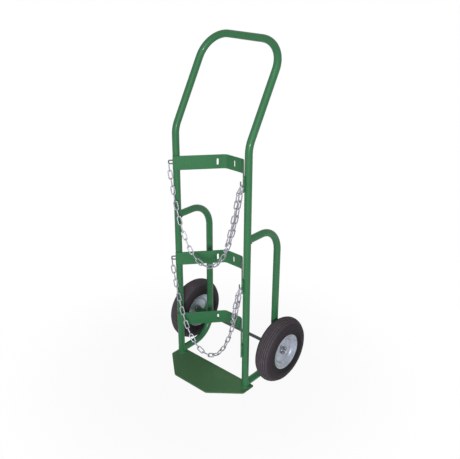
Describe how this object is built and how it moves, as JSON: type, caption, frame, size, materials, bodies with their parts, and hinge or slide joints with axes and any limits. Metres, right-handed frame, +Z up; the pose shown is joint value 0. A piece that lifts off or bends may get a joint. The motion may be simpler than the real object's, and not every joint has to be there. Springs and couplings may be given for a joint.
{
  "type": "gas cylinder cart",
  "caption": "Two-wheeled hand cart for welding gas cylinders: bent tube frame, angled cradle straps, toe plate, solid wheels and chains.",
  "frame": {"origin": "on the floor at the underside of the toe plate, midway between the two uprights and on the line through their axes", "axes": "+Z up along the uprights, +Y back towards the wheels and the person pushing, +X to that person's right"},
  "size_m": [0.5046, 0.3815, 1.2362],
  "materials": {
    "green_enamel": "glossy green enamel",
    "tyre_rubber": "matte",
    "wheel_steel": "satin grey",
    "dark_steel": "oiled",
    "zinc_plate": "bright zinc plate",
    "sintered_bronze": "satin"
  },
  "bodies": {
    "frame": {"main_frame_tube": "green_enamel", "side_loop_left": "green_enamel", "side_loop_right": "green_enamel", "cradle_strap_top": "green_enamel", "cradle_strap_middle": "green_enamel", "cradle_strap_lower": "green_enamel", "toe_plate": "green_enamel", "axle_rod": "dark_steel", "axle_bracket_left": "green_enamel", "axle_bracket_right": "green_enamel", "axle_sleeve_left": "green_enamel", "axle_sleeve_right": "green_enamel", "left_washer_outer": "zinc_plate", "left_washer_inner": "zinc_plate", "right_washer_outer": "zinc_plate", "right_washer_inner": "zinc_plate", "left_cotter_pin": "zinc_plate", "right_cotter_pin": "zinc_plate", "upper_chain_eye": "zinc_plate", "upper_chain_hook": "green_enamel", "lower_chain_eye": "zinc_plate", "lower_chain_hook": "green_enamel"},
    "left_wheel": {"left_wheel_tyre": "tyre_rubber", "left_wheel_rim_band": "wheel_steel", "left_wheel_disc_outer": "wheel_steel", "left_wheel_disc_inner": "wheel_steel", "left_wheel_hub_tube": "wheel_steel", "left_wheel_bush_outer": "sintered_bronze", "left_wheel_bush_inner": "sintered_bronze"},
    "right_wheel": {"right_wheel_tyre": "tyre_rubber", "right_wheel_rim_band": "wheel_steel", "right_wheel_disc_outer": "wheel_steel", "right_wheel_disc_inner": "wheel_steel", "right_wheel_hub_tube": "wheel_steel", "right_wheel_bush_outer": "sintered_bronze", "right_wheel_bush_inner": "sintered_bronze"},
    "upper_chain": {"upper_chain": "zinc_plate", "upper_chain_tail": "zinc_plate", "upper_chain_clip": "zinc_plate"},
    "lower_chain": {"lower_chain": "zinc_plate", "lower_chain_tail": "zinc_plate", "lower_chain_clip": "zinc_plate"}
  },
  "joints": [
    {"name": "left_wheel_spin", "type": "hinge", "parent": "frame", "child": "left_wheel", "pos_m": [-0.2185, 0.135, 0.125], "axis": [1, 0, 0], "continuous": true},
    {"name": "right_wheel_spin", "type": "hinge", "parent": "frame", "child": "right_wheel", "pos_m": [0.2185, 0.135, 0.125], "axis": [1, 0, 0], "continuous": true},
    {"name": "upper_chain_swing", "type": "hinge", "parent": "frame", "child": "upper_chain", "pos_m": [0, -0.0312, 0.797], "axis": [1, 0, 0], "range_deg": [-60, 0]},
    {"name": "lower_chain_swing", "type": "hinge", "parent": "frame", "child": "lower_chain", "pos_m": [0, -0.0312, 0.426], "axis": [1, 0, 0], "range_deg": [-60, 0]}
  ]
}
